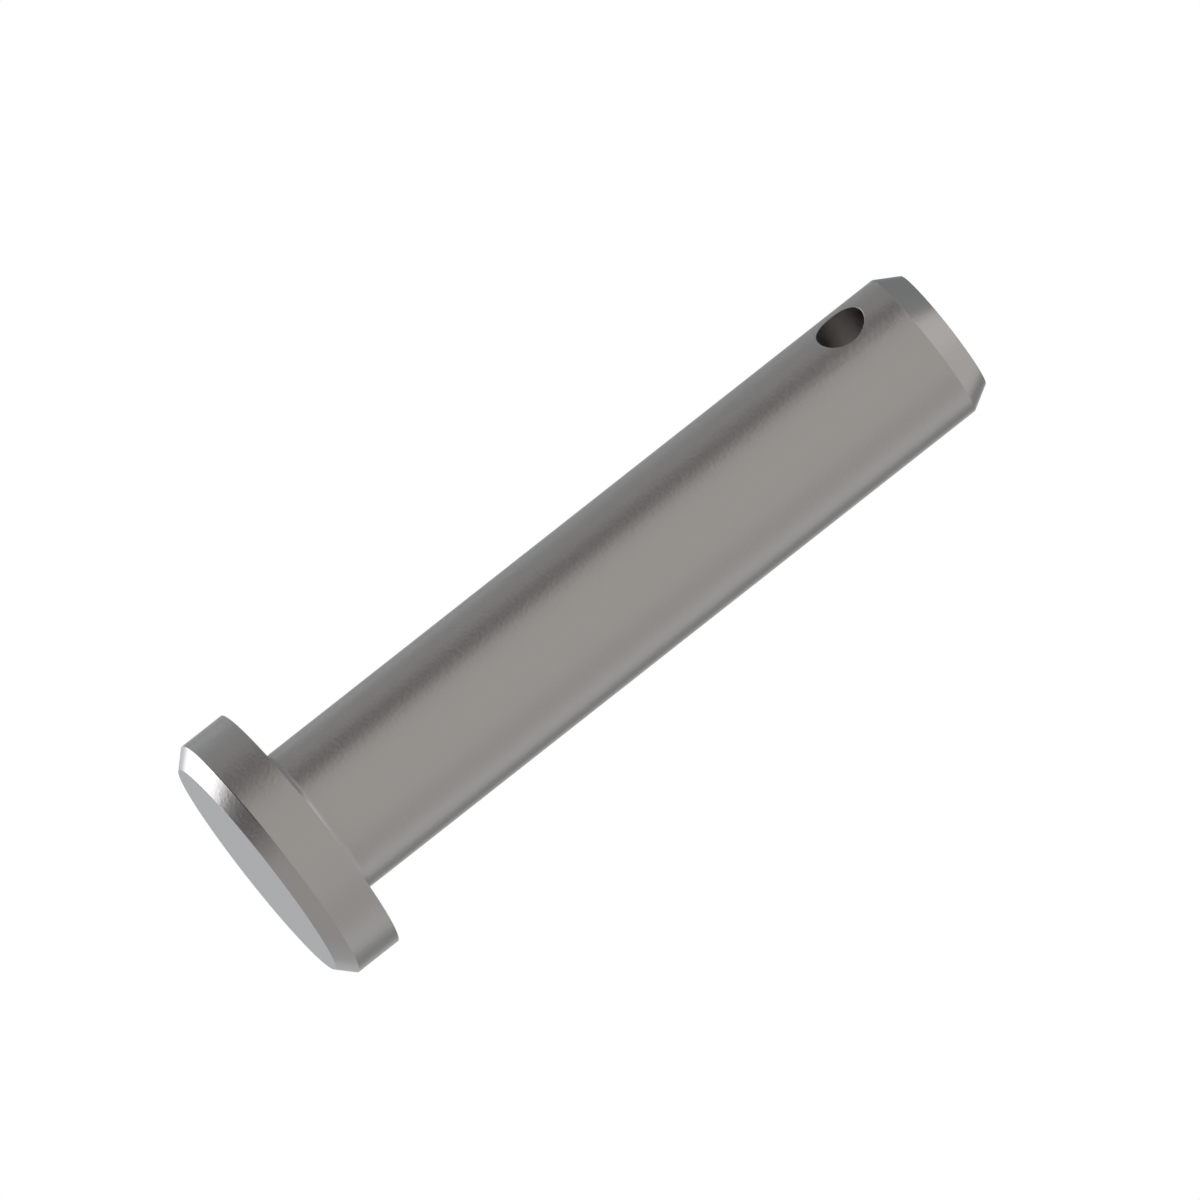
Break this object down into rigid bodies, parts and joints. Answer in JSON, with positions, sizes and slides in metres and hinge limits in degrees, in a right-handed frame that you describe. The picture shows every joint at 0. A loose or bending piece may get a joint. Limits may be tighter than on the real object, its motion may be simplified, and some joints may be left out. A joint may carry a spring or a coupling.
{
  "type": "pivot pin",
  "caption": "Headed pivot pin: a plain round shank with a chamfered disc head, a lead-in cone at the tip and a cross hole near it for a split pin.",
  "frame": {"origin": "centre of the head's flat outer face, which the pin stands on", "axes": "+Z along the pin's axis, from the head to the tip; +Y along the cross hole; +X completes a right-handed frame, square to the hole"},
  "size_m": [0.017, 0.017, 0.052],
  "materials": {
    "satin_steel": "fine satin, bare turned steel"
  },
  "bodies": {
    "root": {"pivot_pin": "satin_steel"}
  },
  "joints": []
}
